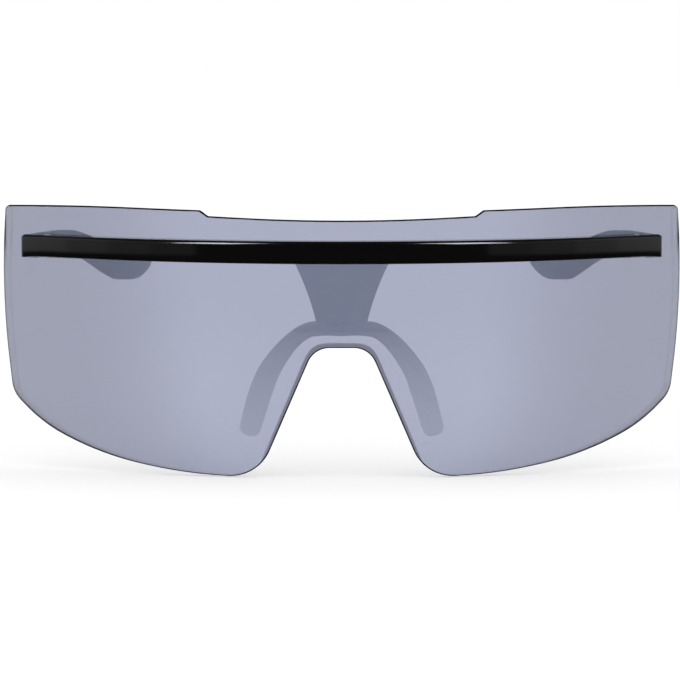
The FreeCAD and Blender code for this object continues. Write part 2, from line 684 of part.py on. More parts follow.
def leaf_screws(label, sign, way):
    """Pair of slotted screws, flush in a hinge leaf and driven outwards into the plastic."""
    turn = FreeCAD.Rotation(FreeCAD.Vector(0, 1, 0), 90 * sign)
    body = new_body(label, f"{sign} * ({HINGE_SIDE} + {LEAF_FACE})", HINGE_PLANE,
                    f"{LEAF_LOW} + leaf_height / 2", turn)
    places = [f"{way} * (leaf_screw_first + {number} * leaf_screw_pitch)" for number in range(2)]
    heads = new_sketch(body, f"{label}_heads", "XY_Plane")
    shanks = new_sketch(body, f"{label}_shanks", "XY_Plane")
    for place in places:
        circle(heads, "0", place, "leaf_screw_head_radius")
        circle(shanks, "0", place, "leaf_screw_radius")
    pad(body, heads, "leaf_screw_head_height")
    pad(body, shanks, "leaf_thickness + seat_gap + leaf_screw_bite")
    slots = new_sketch(body, f"{label}_slots", "XY_Plane")
    for place in places:
        rectangle(slots, "-slot_width / 2", "slot_width / 2", f"{place} - leaf_screw_head_radius",
                  f"{place} + leaf_screw_head_radius")
    cut(body, slots, "leaf_screw_head_height", both_sides=True)
    return body


def hinge_screw(label, sign):
    """Slotted screw that is the hinge's pin."""
    body = new_body(label, f"{sign} * {HINGE_SIDE}", HINGE_PLANE, LEAF_LOW)
    profile = new_sketch(body, f"{label}_profile", "XZ_Plane")
    outline(profile, [
        ("0", "0"),
        ("pin_radius", "0"),
        ("pin_radius", "leaf_height - pin_head_height + fit_gap"),
        ("pin_head_radius", "leaf_height - pin_head_height + fit_gap"),
        ("pin_head_radius", "leaf_height"),
        ("0", "leaf_height"),
    ])
    turn_solid(body, profile)
    slot = new_sketch(body, f"{label}_slot", "XZ_Plane")
    rectangle(slot, "-slot_width / 2", "slot_width / 2", "leaf_height - pin_slot_depth",
              "leaf_height + cut_overrun")
    cut(body, slot)
    return body


def temple_blank(body, sign, inner, outer, low, high, profile):
    """Raise the plan outline between two depths behind the outer face, then trim it to a side profile.

    The plan is straight behind the hinge and bends in along an arc towards the tip.
    """
    plan = new_sketch(body, f"{body.Name}_plan", "XY_Plane", low)
    start = "(arm_reach - bend_radius * sin(tip_sweep))"
    centre = f"({ARM_OUT} - bend_radius)"

    def on_arc(depth, angle):
        radius = f"(bend_radius - ({depth}))"
        return f"{sign} * ({centre} + {radius} * cos({angle}))", f"{start} + {radius} * sin({angle})"

    outline(plan, [
        (f"{sign} * ({ARM_OUT} - ({outer}))", "joint_gap / 2"),
        on_arc(outer, "0"),
        on_arc(outer, "tip_sweep * blank_share"),
        on_arc(inner, "tip_sweep * blank_share"),
        on_arc(inner, "0"),
        (f"{sign} * ({ARM_OUT} - ({inner}))", "joint_gap / 2"),
    ], {1: on_arc(outer, "tip_sweep / 2"), 3: on_arc(inner, "tip_sweep / 2")})
    pad(body, plan, f"{high} - ({low})")
    trim = new_sketch(body, f"{body.Name}_side", "YZ_Plane")
    rectangle(trim, "-cut_overrun", "arm_reach + bend_radius", f"{low} - cut_overrun",
              f"{high} + cut_overrun")
    outline(trim, profile)
    cut(body, trim)


def on_top_line(run):
    """Height of the temple's upper edge before its bend."""
    return f"(arm_top_rise - top_bend_drop * ({run}) / {TOP_BEND})"


def on_low_line(run):
    """Height of the temple's lower edge before its bend."""
    return f"({ARM_LOW} - (low_bend_drop - arm_height) * ({run}) / {LOW_BEND})"


def core_profile(gap):
    """Side profile of the core strip, or of its cavity, which is larger by a gap."""
    start_run = f"({TIP_SPLIT} - core_lead)"
    bend_run = f"({TOP_BEND} + {LOW_BEND}) / 2"
    end_run = "(arm_reach - core_tail)"
    bend_rise = "arm_top_rise - (top_bend_drop + low_bend_drop) / 2"
    start_rise = f"({on_top_line(start_run)} + {on_low_line(start_run)}) / 2"
    end_rise = "arm_top_rise - core_end_drop"
    half = f"(core_height / 2 + {gap})"
    return [
        (f"{start_run} - {gap}", f"{start_rise} + {half}"),
        (f"{start_run} - {gap}", f"{start_rise} - {half}"),
        (bend_run, f"{bend_rise} - {half}", "core_bend_round"),
        (f"{end_run} + {gap}", f"{end_rise} - {half}"),
        (f"{end_run} + {gap}", f"{end_rise} + {half}"),
        (bend_run, f"{bend_rise} + {half}", "core_bend_round"),
    ]


def core_blank(label, sign, gap):
    """Flat strip along the middle of the temple's thickness."""
    body = new_body(label, y=HINGE_PLANE)
    inner = f"(arm_thickness + core_thickness) / 2 + {gap}"
    outer = f"(arm_thickness - core_thickness) / 2 - {gap}"
    temple_blank(body, sign, inner, outer, "arm_top_rise - toe_drop", "arm_top_rise", core_profile(gap))
    return body


def soften(body, name, kept_runs):
    """Round a temple piece's sharp edges, but for those in the planes at the given runs behind the hinge."""
    near = value("same_spot")
    planes = [value(run) for run in kept_runs]

    def is_kept(edge):
        runs = [end.Point.y for end in edge.Vertexes]
        return any(all(abs(run - plane) < near for run in runs) for plane in planes)

    round_edges(body, name, sharp_edges(body, is_kept), "arm_edge_round")


def temple_arm(side, sign):
    """Straight arm of a temple, with pilot holes for the hinge leaf."""
    body = new_body(f"{side}_arm_blank", y=HINGE_PLANE)
    temple_blank(body, sign, "arm_thickness", "0", "arm_top_rise - toe_drop", "arm_top_rise + cut_overrun", [
        ("joint_gap / 2", on_top_line("joint_gap / 2")),
        ("joint_gap / 2", on_low_line("joint_gap / 2")),
        (TIP_SPLIT, on_low_line(TIP_SPLIT)),
        (TIP_SPLIT, on_top_line(TIP_SPLIT)),
    ])
    soften(body, f"{side}_arm_edges", ["joint_gap / 2", TIP_SPLIT])
    pilots = new_sketch(body, f"{side}_arm_pilots", "YZ_Plane")
    leaf_screw_circles(pilots, "0", 1, "leaf_screw_radius + fit_gap")
    cut(body, pilots, f"2 * ({ARM_IN} + leaf_screw_bite + fit_gap)")
    return body


def temple_tip(side, sign):
    """Bent tip of a temple, widening to a rounded paddle behind the ear."""
    body = new_body(f"{side}_tip_blank", y=HINGE_PLANE)
    split = f"({TIP_SPLIT} + seat_gap)"
    temple_blank(body, sign, "arm_thickness", "0", "arm_top_rise - toe_drop", "arm_top_rise + cut_overrun", [
        (split, on_top_line(split)),
        (split, on_low_line(split)),
        (LOW_BEND, "arm_top_rise - low_bend_drop", "low_bend_round"),
        ("arm_reach - toe_back", "arm_top_rise - toe_drop", "toe_round"),
        ("arm_reach", "arm_top_rise - tip_end_drop", "tip_end_round"),
        (TOP_BEND, "arm_top_rise - top_bend_drop", "top_bend_round"),
    ])
    soften(body, f"{side}_tip_edges", [split])
    return body


def hollowed(label, blank, cavity):
    """Take the core's cavity out of a temple piece."""
    piece = doc.addObject("Part::Cut", label)
    piece.Label = label
    piece.Base = blank
    piece.Tool = cavity
    doc.recompute()
    return piece


def temple(side, sign):
    """Every piece that turns with one temple."""
    cavity = core_blank(f"{side}_core_cavity", sign, "core_gap")
    return [
        hollowed(f"{side}_temple", temple_arm(side, sign), cavity),
        hollowed(f"{side}_temple_tip", temple_tip(side, sign), cavity),
        core_blank(f"{side}_temple_core", sign, "0"),
        hinge_leaf(f"{side}_temple_hinge_leaf", sign, 1),
        leaf_screws(f"{side}_temple_leaf_screws", sign, 1),
    ]


def front_hinge(side, sign):
    """Every piece of one hinge that stays with the front."""
    return [
        hinge_leaf(f"{side}_front_hinge_leaf", sign, -1),
        leaf_screws(f"{side}_front_leaf_screws", sign, -1),
        hinge_screw(f"{side}_hinge_screw", sign),
    ]


def check(pieces):
    """Stop if any object failed or any sub-part's solids are missing or faulty."""
    for item in doc.Objects:
        if {"Invalid", "Error"} & set(item.State):
            raise RuntimeError(f"{item.Label} failed: {item.State}")
    for piece in pieces:
        if piece.Shape.isNull() or not piece.Shape.isValid() or not piece.Shape.Solids:
            raise RuntimeError(f"{piece.Label} has no sound solid")


def main():
    """Build every sub-part and write it to its own file."""
    pieces = [shield_lens(), brow_bar(), rear_frame(), nose_pad(), bar_screws(), lens_bushings()]
    for side, sign in SIDES.items():
        pieces += front_hinge(side, sign) + temple(side, sign)
    doc.recompute()
    check(pieces)
    os.makedirs("parts", exist_ok=True)
    for piece in pieces:
        piece.Shape.exportStep(f"parts/{piece.Label}.step")
        print(piece.Label, len(piece.Shape.Solids), round(piece.Shape.Volume, 2))


main()
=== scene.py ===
"""Looks of a pair of shield sunglasses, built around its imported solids.

Everything is in metres in the solids' own frame: +Z up, the lens faces -Y, +X is the wearer's left.
"""
import math

import bpy
import numpy as np
from bpy.props import FloatProperty, FloatVectorProperty, PointerProperty
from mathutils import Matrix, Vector


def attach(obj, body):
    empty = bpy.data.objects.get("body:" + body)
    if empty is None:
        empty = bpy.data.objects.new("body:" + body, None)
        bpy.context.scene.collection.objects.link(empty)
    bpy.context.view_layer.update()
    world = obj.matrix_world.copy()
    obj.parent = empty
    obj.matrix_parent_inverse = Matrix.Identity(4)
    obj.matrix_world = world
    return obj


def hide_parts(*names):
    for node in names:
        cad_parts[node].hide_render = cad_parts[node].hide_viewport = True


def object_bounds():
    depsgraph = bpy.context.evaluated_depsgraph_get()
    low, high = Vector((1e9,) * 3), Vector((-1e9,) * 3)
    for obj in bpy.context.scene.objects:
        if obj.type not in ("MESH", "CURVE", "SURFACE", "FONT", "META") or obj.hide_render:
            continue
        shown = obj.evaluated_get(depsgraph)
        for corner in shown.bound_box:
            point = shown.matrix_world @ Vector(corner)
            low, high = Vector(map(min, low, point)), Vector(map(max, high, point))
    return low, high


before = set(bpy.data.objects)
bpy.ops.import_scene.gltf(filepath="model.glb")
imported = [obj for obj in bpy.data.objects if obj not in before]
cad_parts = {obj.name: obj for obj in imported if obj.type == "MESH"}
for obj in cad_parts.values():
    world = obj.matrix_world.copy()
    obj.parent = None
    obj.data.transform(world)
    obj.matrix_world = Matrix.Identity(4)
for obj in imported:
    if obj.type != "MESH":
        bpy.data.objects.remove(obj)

bl_info = {
    "name": "Shield Sunglasses Looks",
    "version": (1, 0, 0),
    "blender": (4, 5, 0),
    "location": "3D View > Sidebar > Sunglasses",
    "description": "Finishes, nose pad and studio of a pair of shield sunglasses",
    "category": "Object",
}

MM = 0.001
FRAME_PIXELS = 680
SIDES = ("left", "right")
CAD_BOX = [list(corner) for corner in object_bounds()]
WHITE = (1.0, 1.0, 1.0)
BLACK = (0.0, 0.0, 0.0)
# Lens axis, behind the origin, in mm
LENS_AXIS = 93.0
# How squarely the lens looks away from its axis where the rim turns into a face, and samples of that look
LENS_EDGE_SHARES = (0.94, 0.998)
EDGE_SAMPLES = 8
# Where the painted rim shade widens: outwards of these places, and below these heights, in mm
WIDE_RIM_ACROSS = (25.0, 72.0)
WIDE_RIM_RISES = (22.5, 24.0)
# Painted dark line along the upper part of each end, standing in for the temple seen through the lens's
# edge: where it starts across, and where it fades in upwards, in mm
PAINTED_LINE_ACROSS = (71.05, 71.75)
PAINTED_LINE_RISES = (13.0, 20.0)
# How squarely a face looks sideways where it turns into a clear end wall
END_WALL_SHARES = (0.95, 0.995)
# Nose notch seen from the front: inner corner, foot of the slanted side and rounding of the corner, in mm
NOTCH_TOP = (5.67, -2.07)
NOTCH_FOOT = (17.3, -28.97)
NOTCH_ROUND = 4.8
# Painted shade band along the notch, standing in for the grey look of a bevel there: how much it narrows
# for each unit of drop, and where its fade starts
NOTCH_NARROWING_SHARE = 0.014
BAND_FADE_SHARE = 0.7
# Painted reflection: a clearer patch on each lens half stands in for the soft glow of a lamp mirrored in
# the lens; its place (across, up) and reach in mm
GLOW_PATCH_PLACE = (28.0, -13.0)
GLOW_PATCH_REACH = 26.0
# Half of the nose pad's arch (across, up) from its middle to its end, in mm
PAD_ARCH = ((0.0, 1.55), (3.7, 1.65), (7.4, 1.0), (11.05, -1.9), (14.7, -6.9),
            (16.7, -11.65), (18.1, -16.3), (19.5, -21.4))
# Shares of the half arch where the pad's halves are set, grid steps, rings to smooth over, section's power
PAD_SPREAD_SHARES = (0.0, 0.24, 0.68, 1.0)
PAD_RINGS = 161
PAD_SPOKES = 48
PAD_SMOOTHING = 31
PAD_BOXINESS = 3.2
# The pad leans back as it goes down: rise where it starts and middle there, in mm, and run per unit of drop
PAD_TOP_RISE = 3.0
PAD_MIDDLE = -0.15
PAD_LEAN_SHARE = 0.272
# The pad clears fast below the saddle and slowly further down: power of the drop
FADE_POWER = 0.55
# Brow bar: radius of its back about the lens axis and foot, in mm, and half sweep in radians
BAR_BACK = 100.05
BAR_FOOT = 15.4
BAR_HALF_SWEEP = math.radians(40.9)
# The bar's ends reach down in short heels: power of the turn
HEEL_POWER = 24
# Steps of the bar's grid: along it, over the rounding of an end, and around a corner
BAR_RINGS = 181
BAR_END_RINGS = 7
BAR_CORNER_STEPS = 9
# Noise of the finishes: size of its features in m, detail and roughness
LENS_SMEAR = (18.0 * MM, 3.0, 0.5)
BAR_WIPE = (2.0 * MM, 4.0, 0.5)
BAR_PEEL = (3.0 * MM, 1.0, 0.5)
NYLON_CLOUD = (9.0 * MM, 2.0, 0.5)
SILICONE_CLOUD = (5.0 * MM, 2.0, 0.5)
RUBBER_CLOUD = (6.0 * MM, 3.0, 0.5)
# Detail and roughness of the noise whose size is a setting
NYLON_GRAIN = (3.0, 0.6)
RUBBER_GRAIN = (3.0, 0.65)
STEEL_LINES = (3.0, 0.7)
# Middle of the noise, and how far the noise swings the roughness of each finish
NOISE_MIDDLE = 0.5
LENS_SWING = 0.008
BAR_SWING = 0.06
NYLON_SWING = 0.16
SILICONE_SWING = 0.1
RUBBER_SWING = 0.2
STEEL_SWING = 0.25
# Where the cloud turns from a finish's first colour to its second
NYLON_CLOUD_SHARES = (0.35, 0.75)
RUBBER_CLOUD_SHARES = (0.45, 0.8)
# Bumps of the finishes: strength, and depth in m
BAR_BUMP = (0.05, 0.05 * MM)
NYLON_BUMP = (0.35, 0.02 * MM)
RUBBER_BUMP = (0.5, 0.015 * MM)
STEEL_BUMP = (0.12, 0.01 * MM)
# Scale of the place for long marks: the bar's wipe marks on each axis, and brushed lines along theirs
WIPE_SCALES = (0.2, 0.2, 1.0)
BRUSH_SCALE = 0.02
# Studio floor: half size in m, gap under the lens in mm, and roughness
FLOOR_HALF = 6.0
FLOOR_GAP = 0.2
FLOOR_ROUGHNESS = 0.9
# Card over the floor that only mirrors see: half size in m, height in mm, and where it darkens to its sides
CARD_HALF = 3.0
CARD_LIFT = 0.05
CARD_SIDE_SHARES = (0.6, 1.0)
# Camera: plane of its aim and width of its sensor in mm, nearest and farthest sight in m
CAMERA_PLANE = -7.0
SENSOR_WIDTH = 36.0
CAMERA_SIGHT = (0.01, 100.0)
# Lamps for each half of the brow bar, of which the left one is written here
# Box over the brow: place and aim in mm, width and height in mm, watts
TOP_BOX = ((336.0, -410.0, 490.0), (25.0, -8.0, 19.0), (180.0, 400.0), 50.0)
# Upright cards at the side: angle from the front where each starts, in degrees, and its radiance in W/m2/sr
SIDE_CARDS = ((38.0, 2.6), (50.0, 1.1), (62.0, 1.6), (74.0, 1.7))
# Their common end in degrees; reach of the first, step between them, foot and top, in mm
CARDS_END = 100.0
CARDS_REACH = 600.0
CARDS_APART = 5.0
CARDS_FOOT = -25.0
CARDS_TOP = 595.0
# The lamps show on the bar itself, and not in the lens's image of it
LAMP_RAY_DEPTH = 2.5


def metres(lengths):
    """Return lengths given in millimetres as metres."""
    return tuple(value * MM for value in lengths)


def colour(label, about, default):
    """Return a colour setting."""
    return FloatVectorProperty(name=label, description=about, subtype="COLOR", size=3, min=0, max=1,
                               default=default)


def share(label, about, default, most=1.0):
    """Return a setting without a unit."""
    return FloatProperty(name=label, description=about, subtype="FACTOR", min=0, max=most, default=default)


def length(label, about, default):
    """Return a length setting in metres, given in millimetres."""
    return FloatProperty(name=label, description=about, subtype="DISTANCE", unit="LENGTH", precision=5,
                         default=default * MM)


class LensLook(bpy.types.PropertyGroup):
    """Finish of the mirror lens."""
    tint: colour("Tint", "Colour of the lens and its mirror coat", (0.444, 0.457, 0.555))
    # Painted reflection: the clearer tint is a lamp's soft glow painted into the patches
    clear: colour("Clearer tint", "Colour of the clearer patches", (0.464, 0.478, 0.578))
    # Painted shade: the band's tone stands in for the grey look of a bevel along the notch
    bevel_shade_tone: colour("Band", "Ground band along the nose notch", (0.185, 0.188, 0.245))
    # Painted shade: the dark rim stands in for the look that refraction gives the lens's edge
    edge: colour("Edge", "Blackened rim of the lens", (0.006, 0.006, 0.008))
    flash: colour("Flash", "Colour of the bare surface's reflection", (0.30, 0.50, 1.0))
    silver: share("Silvering", "Share of the surface that the mirror coat covers", 0.29)
    index: FloatProperty(name="Index", description="Refractive index of the lens", min=1, max=3,
                         default=1.65)
    roughness: share("Roughness", "Blur of the reflection", 0.008)
    edge_roughness: share("Edge roughness", "Blur of the rim's reflection", 0.85)
    # Reaches of the painted rim shade onto the faces
    rim_shade_reach: length("Edge reach", "How far the blackened rim comes onto the faces", 0.15)
    wide_shade_reach: length("Wide reach", "How much further it comes at the sides and along the lower edge", 1.4)
    # Painted dark line: the temple's image seen through the lens's edge
    painted_side_line: share("Side line", "Darkness of the line along the upper part of each end", 0.95)
    band: length("Notch band", "Width of the ground band along the nose notch", 1.1)


class BarLook(bpy.types.PropertyGroup):
    """Finish of the brow bar."""
    body: colour("Colour", "Polished plastic", (0.0008, 0.0008, 0.0009))
    gloss: share("Gloss", "Strength of the reflection seen straight on", 0.03)
    roughness: share("Roughness", "Blur of the reflection", 0.09)


class BarForm(bpy.types.PropertyGroup):
    """Form of the brow bar."""
    depth: length("Depth", "From the lens side to the front", 3.2)
    height: length("Height", "Height in the middle", 4.65)
    end_rise: length("End rise", "How far the bar's ends stand above its middle", 0.42)
    end_drop: length("End taper", "Height that the bar loses towards its ends", 0.26)
    heel: length("Heel", "How far the lower edge comes down again at the very ends", 0.5)
    top_round: length("Top rounding", "Rounding of the upper front edge", 0.9)
    low_round: length("Low rounding", "Rounding of the lower front edge", 0.35)
    top_fall: length("Top fall", "How far the top falls towards the lens", 0.3)
    small_round: length("Small rounding", "Rounding of the ends and the back edges", 0.45)


class PlasticLook(bpy.types.PropertyGroup):
    """Finish of the rear frame, the temple arms and the lens sleeves."""
    body: colour("Colour", "Moulded nylon", (0.010, 0.010, 0.011))
    worn: colour("Lighter grain", "Nylon where the grain is lighter", (0.016, 0.016, 0.018))
    roughness: share("Roughness", "Blur of the reflection", 0.66)
    gloss: share("Gloss", "Strength of the reflection seen straight on", 0.12)
    grain: length("Grain", "Size of the moulded grain", 0.22)


class SiliconeLook(bpy.types.PropertyGroup):
    """Finish of the nose pad."""
    dark: colour("Dark end", "Silicone over the nose", (0.028, 0.028, 0.032))
    smoke: colour("Smoke end", "Silicone at the ends of the pads", (0.61, 0.62, 0.64))
    roughness: share("Roughness", "Blur of what shows through", 0.45)
    index: FloatProperty(name="Index", description="Refractive index of the soft skin", min=1, max=2,
                         default=1.1)
    fade_start: length("Fade start", "Height where the silicone starts to clear", 1.2)
    fade_end: length("Fade end", "Height where the silicone is clearest", -23.0)


class RubberLook(bpy.types.PropertyGroup):
    """Finish of the temple tips."""
    body: colour("Colour", "Soft rubber", (0.010, 0.010, 0.011))
    bloom: colour("Bloom", "Paler film on the rubber", (0.022, 0.022, 0.025))
    roughness: share("Roughness", "Blur of the reflection", 0.68)
    gloss: share("Gloss", "Strength of the reflection seen straight on", 0.35)
    grain: length("Grain", "Size of the matt grain", 0.15)


class SteelLook(bpy.types.PropertyGroup):
    """Finish of the hinges, screws and core strips."""
    body: colour("Colour", "Satin steel", (0.46, 0.46, 0.48))
    roughness: share("Roughness", "Blur of the reflection", 0.30)
    line: length("Brush line", "Width of the brushed lines", 0.06)


class PadForm(bpy.types.PropertyGroup):
    """Form of the nose pad."""
    saddle_half: length("Saddle half thickness", "Half the pad's thickness over the nose", 1.5)
    cheek_half: length("Cheek half thickness", "Half the pad's thickness at its fullest", 2.5)
    toe_half: length("Toe half thickness", "Half the pad's thickness near its ends", 2.15)
    depth_half: length("Half depth", "Half the pad's depth from front to back", 4.1)
    toe_depth_half: length("Toe half depth", "Half the pad's depth near its ends", 3.6)
    end_round: length("End rounding", "Length over which the ends close", 1.9)


class StageLook(bpy.types.PropertyGroup):
    """Camera, floor and light."""
    distance: length("Camera distance", "From the camera to the lens middle", 900.0)
    elevation: FloatProperty(name="Elevation", description="Angle from which the camera looks down",
                             subtype="ANGLE", default=math.radians(4.0))
    focal_pixels: FloatProperty(name="Focal length", description="Focal length in pixels of the picture",
                                default=4363.6)
    aim_height: length("Aim height", "Height of the picture's middle", -0.376)
    aim_side: FloatProperty(name="Aim side", default=1.7,
                            description="Pixels from the picture's middle to the lens middle")
    floor: colour("Floor", "Pale floor that glows by itself", (0.55, 0.55, 0.55))
    floor_glow: share("Floor glow", "Light that the floor gives off", 0.5)
    sky: colour("Sky", "Soft light from all sides", WHITE)
    card: share("Card", "Light of the floor as mirrors see it", 1.05, 2.0)
    card_loss: share("Side loss", "Share of that light lost towards the sides", 0.43)


class Wire:
    """A socket of a node tree. Sums and products of wires and numbers add Math nodes."""

    def __init__(self, socket):
        self.socket = socket

    @classmethod
    def add(cls, tree, kind, settings=None, inputs=None, output=0):
        """Add a node of a type, with its settings first, then the values or wires of its sockets."""
        made = tree.nodes.new(kind)
        for name, setting in (settings or {}).items():
            setattr(made, name, setting)
        for name, given in (inputs or {}).items():
            if isinstance(given, Wire):
                tree.links.new(given.socket, made.inputs[name])
            else:
                made.inputs[name].default_value = given
        return cls(made.outputs[output])

    def node(self, kind, settings=None, inputs=None, output=0):
        """Add a node to the tree of this wire."""
        return self.add(self.socket.id_data, kind, settings, inputs, output)

    def math(self, operation, *others):
        """Add one Math node that starts from this value."""
        return self.node("ShaderNodeMath", {"operation": operation}, dict(enumerate((self, *others))))

    def __add__(self, other):
        return self.math("ADD", other)

    def __mul__(self, other):
        return self.math("MULTIPLY", other)

    def __sub__(self, other):
        return self.math("SUBTRACT", other)

    def __rsub__(self, other):
        return self.node("ShaderNodeMath", {"operation": "SUBTRACT"}, {0: other, 1: self})

    __radd__ = __add__
    __rmul__ = __mul__

    def between(self, low, high):
        """Rise smoothly from 0 at the low value to 1 at the high one."""
        return self.node("ShaderNodeMapRange", {"interpolation_type": "SMOOTHSTEP"},
                         {"Value": self, "From Min": low, "From Max": high})

    def mix(self, first, second):
        """Blend two colours by this value."""
        return self.node("ShaderNodeMix", {"data_type": "RGBA"},
                         {"Factor": self, "A": opaque(first), "B": opaque(second)}, "Result")


def opaque(tone):
    """Return a colour with full alpha; a wire stays as it is."""
    return tone if isinstance(tone, Wire) else (*tone, 1.0)


def finish(name):
    """Start a material; return it with its shader and the place on the piece."""
    material = bpy.data.materials.new(name)
    material.use_nodes = True
    tree = material.node_tree
    return material, tree.nodes["Principled BSDF"], Wire.add(tree, "ShaderNodeTexCoord", output="Object")


def join(shader, **sockets):
    """Set or link a shader's sockets; underscores stand for spaces."""
    for name, given in sockets.items():
        socket = shader.inputs[name.replace("_", " ")]
        if isinstance(given, Wire):
            shader.id_data.links.new(given.socket, socket)
        else:
            socket.default_value = given


def noise(place, size, detail, roughness):
    """Return cloudy noise from 0 to 1 with features of a size in metres."""
    return place.node("ShaderNodeTexNoise", {}, {"Vector": place, "Scale": 1 / size, "Detail": detail,
                                                 "Roughness": roughness})


def swung(cloud, swing, roughness):
    """Return a roughness that a noise swings about its middle."""
    return (cloud - NOISE_MIDDLE) * swing + roughness


def stretched(place, factors):
    """Return the place scaled along each axis."""
    return place.node("ShaderNodeMapping", {}, {"Vector": place, "Scale": factors})


def bump(height, strength, depth):
    """Return a normal raised by a height from 0 to 1, up to a depth in metres."""
    return height.node("ShaderNodeBump", {}, {"Height": height, "Strength": strength, "Distance": depth})


def front_place(place):
    """Return a place's distance from the middle of the glasses, and its height."""
    parts = place.node("ShaderNodeSeparateXYZ", {}, {"Vector": place}).socket.node.outputs
    return Wire(parts["X"]).math("ABSOLUTE"), Wire(parts["Z"])


def sideways(vector):
    """Return the size of a vector's part along X."""
    return vector.node("ShaderNodeSeparateXYZ", {}, {"Vector": vector}, "X").math("ABSOLUTE")


def dress(node, material):
    """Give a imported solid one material."""
    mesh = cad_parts[node].data
    mesh.materials.clear()
    mesh.materials.append(material)


def look():
    """Return the scene's settings."""
    return bpy.context.scene.sunglasses


def notch_distance(place):
    """Return the distance in metres from the nose notch's edge, as seen from the front.

    The notch is a flat top and two slanted sides: the distance is the greater of the heights above those
    lines. It grows a little with the drop below the top, so that a band of one width narrows downwards.
    """
    across, rise = front_place(place)
    top, foot = np.array(NOTCH_TOP) * MM, np.array(NOTCH_FOOT) * MM
    run, drop = foot - top
    reach = math.hypot(run, drop)
    beside = (across - top[0]) * (-drop / reach) + (rise - top[1]) * (run / reach)
    above = rise - top[1]
    apart = beside.math("SMOOTH_MAX", above, NOTCH_ROUND * MM)
    return apart - above.math("MINIMUM", 0.0) * NOTCH_NARROWING_SHARE


def glow_patch_share(place):
    """Return 1 in the middle of each half's clearer patch, a painted reflection of a lamp's soft glow,
    falling smoothly to 0 at its reach.
    """
    across, rise = front_place(place)
    aside, up = across - GLOW_PATCH_PLACE[0] * MM, rise - GLOW_PATCH_PLACE[1] * MM
    reach = (aside * aside + up * up).math("SQRT")
    return 1.0 - reach.between(0.0, GLOW_PATCH_REACH * MM)


def rim_shade_share(place, want):
    """Return 0 on the lens's two faces and 1 on its rim, but for the clear walls at its two ends; the rim
    is painted shade for the dark look that refraction gives the lens's edge.

    A face's normal points along the direction from the lens axis, so its dot product with that is 1; near
    the rim the normal is averaged over the reach, and the product falls. The painted dark line along the
    upper part of each end, which stands in for the temple seen through the edge, is added by its place.
    """
    across, rise = front_place(place)
    # The painted rim shade widens towards the sides and along the lower edge
    wide = across.between(*metres(WIDE_RIM_ACROSS)) * (1.0 - rise.between(*metres(WIDE_RIM_RISES)))
    reach = wide * want.wide_shade_reach + want.rim_shade_reach
    end_wall = sideways(place.node("ShaderNodeNewGeometry", output="Normal")).between(*END_WALL_SHARES)
    axis = (0, LENS_AXIS * MM, 0)
    away = place.node("ShaderNodeVectorMath", {"operation": "SUBTRACT"}, {0: place, 1: axis})
    level = away.node("ShaderNodeVectorMath", {"operation": "MULTIPLY"}, {0: away, 1: (1, 1, 0)})
    outward = level.node("ShaderNodeVectorMath", {"operation": "NORMALIZE"}, {0: level})
    normal = place.node("ShaderNodeBevel", {"samples": EDGE_SAMPLES}, {"Radius": reach})
    square = outward.node("ShaderNodeVectorMath", {"operation": "DOT_PRODUCT"}, {0: outward, 1: normal},
                          "Value")
    rim = 1.0 - square.math("ABSOLUTE").between(*LENS_EDGE_SHARES)
    # Painted dark line for the temple seen through the lens's edge
    line = across.between(*metres(PAINTED_LINE_ACROSS)) * rise.between(*metres(PAINTED_LINE_RISES))
    return rim.math("MAXIMUM", line * want.painted_side_line) * (1.0 - end_wall)


def mirror_lens():
    """Tinted lens with a thin mirror coat, and painted light: a dark rim for the look that refraction gives
    its edge, a grey band along the nose notch for the look of a bevel there, and clearer patches for a
    lamp's soft glow.

    The coat is the metal share of the shader, so light passes through the rest; the rim and the band are
    all metal.
    """
    want = look().lens
    material, shader, place = finish("mirror_lens")
    # Painted shade: the dark rim, widest at the sides and along the lower edge
    rim = rim_shade_share(place, want)
    # Painted shade: a grey band along the notch for the look of a bevel there
    band = 1.0 - notch_distance(place).between(want.band * BAND_FADE_SHARE, want.band)
    # Painted reflection: the clearer patches stand in for a lamp's soft glow in the lens
    tint = glow_patch_share(place).mix(want.tint, want.clear)
    smear = noise(place, *LENS_SMEAR)
    join(shader, Base_Color=rim.mix(band.mix(tint, want.bevel_shade_tone), want.edge),
         Metallic=rim.math("MAXIMUM", band) * (1 - want.silver) + want.silver,
         Transmission_Weight=1.0, IOR=want.index, Specular_Tint=opaque(want.flash),
         Roughness=smear * LENS_SWING + want.roughness + rim * want.edge_roughness)
    return material


def polished_bar():
    """Polished black plastic with faint wipe marks."""
    want = look().bar
    material, shader, place = finish("polished_bar")
    wipe = noise(stretched(place, WIPE_SCALES), *BAR_WIPE)
    peel = noise(place, *BAR_PEEL)
    join(shader, Base_Color=opaque(want.body), Specular_IOR_Level=want.gloss,
         Roughness=swung(wipe, BAR_SWING, want.roughness), Normal=bump(peel, *BAR_BUMP))
    return material


def moulded_nylon():
    """Satin black nylon with the fine grain of its mould."""
    want = look().plastic
    material, shader, place = finish("moulded_nylon")
    grain = noise(place, want.grain, *NYLON_GRAIN)
    cloud = noise(place, *NYLON_CLOUD)
    join(shader, Base_Color=cloud.between(*NYLON_CLOUD_SHARES).mix(want.body, want.worn),
         Specular_IOR_Level=want.gloss, Roughness=swung(cloud, NYLON_SWING, want.roughness),
         Normal=bump(grain, *NYLON_BUMP))
    return material


